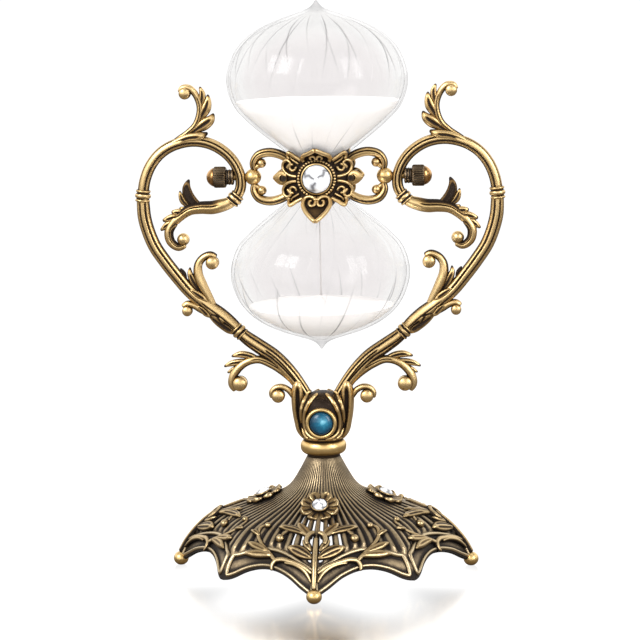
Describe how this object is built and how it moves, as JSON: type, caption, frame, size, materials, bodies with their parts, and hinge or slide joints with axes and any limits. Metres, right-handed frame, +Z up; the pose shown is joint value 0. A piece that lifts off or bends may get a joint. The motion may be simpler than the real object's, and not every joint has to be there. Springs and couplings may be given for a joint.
{
  "type": "hourglass",
  "caption": "Tilting hourglass: a fluted double-bulb glass of white sand on side pivots in a heart-shaped brass scroll frame, above a ribbed, scalloped base with ball feet.",
  "frame": {"origin": "on the surface it stands on, under the middle of the base", "axes": "+Z up, +X to the right along the pivot pins, -Y to the front, where the blue stone is"},
  "size_m": [0.1644, 0.1368, 0.25],
  "materials": {
    "antique_brass": "antique brass plate, bright on the high places and dark brown in the recesses",
    "polished_brass": "smooth gold-brass, softly polished",
    "olive_brass": "aged olive-grey brass with dark grooves between its ribs",
    "dark_brass": "dark brown bronze, fine knurling",
    "steel": "plain plated steel",
    "clear_glass": "clear blown glass with soft flutes",
    "crystal": "faceted clear crystal",
    "teal_stone": "deep teal-blue glass cabochon",
    "white_sand": "fine matt white sand"
  },
  "bodies": {
    "stand": {"arm_hoop_left": "antique_brass", "arm_hoop_right": "antique_brass", "arm_lower_left": "antique_brass", "arm_lower_right": "antique_brass", "arm_root_left": "antique_brass", "arm_root_right": "antique_brass", "ball_foot_back": "polished_brass", "ball_foot_front": "polished_brass", "ball_foot_left": "polished_brass", "ball_foot_right": "polished_brass", "base_bolt": "steel", "base_canopy": "olive_brass", "base_washer": "steel", "blue_stone": "teal_stone", "collar_inner_left": "polished_brass", "collar_inner_right": "polished_brass", "collar_lower_left": "polished_brass", "collar_lower_right": "polished_brass", "collar_middle_left": "polished_brass", "collar_middle_right": "polished_brass", "filigree_panel_back": "antique_brass", "filigree_panel_front": "antique_brass", "filigree_panel_left": "antique_brass", "filigree_panel_right": "antique_brass", "flower_back": "antique_brass", "flower_crystal_back": "crystal", "flower_crystal_front": "crystal", "flower_crystal_left": "crystal", "flower_crystal_right": "crystal", "flower_front": "antique_brass", "flower_left": "antique_brass", "flower_right": "antique_brass", "lotus_socket": "antique_brass", "neck_ring": "polished_brass", "stone_bezel": "polished_brass", "tail_scroll_left": "antique_brass", "tail_scroll_right": "antique_brass"},
    "cradle": {"glass_vessel": "clear_glass", "medallion_back": "antique_brass", "medallion_crystal_back": "crystal", "medallion_crystal_front": "crystal", "medallion_front": "antique_brass", "medallion_screw_left": "dark_brass", "medallion_screw_right": "dark_brass", "pivot_pin_left": "polished_brass", "pivot_pin_right": "polished_brass", "sand_lower": "white_sand", "sand_upper": "white_sand", "scroll_loop_left": "antique_brass", "scroll_loop_right": "antique_brass", "seal_tip_bottom": "clear_glass", "seal_tip_top": "clear_glass", "spacer_washer_left": "dark_brass", "spacer_washer_right": "dark_brass", "waist_clamp_back": "dark_brass", "waist_clamp_front": "dark_brass"},
    "left_nut": {"knurled_nut_left": "dark_brass"},
    "right_nut": {"knurled_nut_right": "dark_brass"}
  },
  "joints": [
    {"name": "cradle_turn", "type": "hinge", "parent": "stand", "child": "cradle", "pos_m": [0, 0, 0.175], "axis": [1, 0, 0], "continuous": true},
    {"name": "left_nut_turn", "type": "hinge", "parent": "cradle", "child": "left_nut", "pos_m": [-0.0435, 0, 0.175], "axis": [-1, 0, 0], "continuous": true},
    {"name": "right_nut_turn", "type": "hinge", "parent": "cradle", "child": "right_nut", "pos_m": [0.0435, 0, 0.175], "axis": [1, 0, 0], "continuous": true}
  ]
}
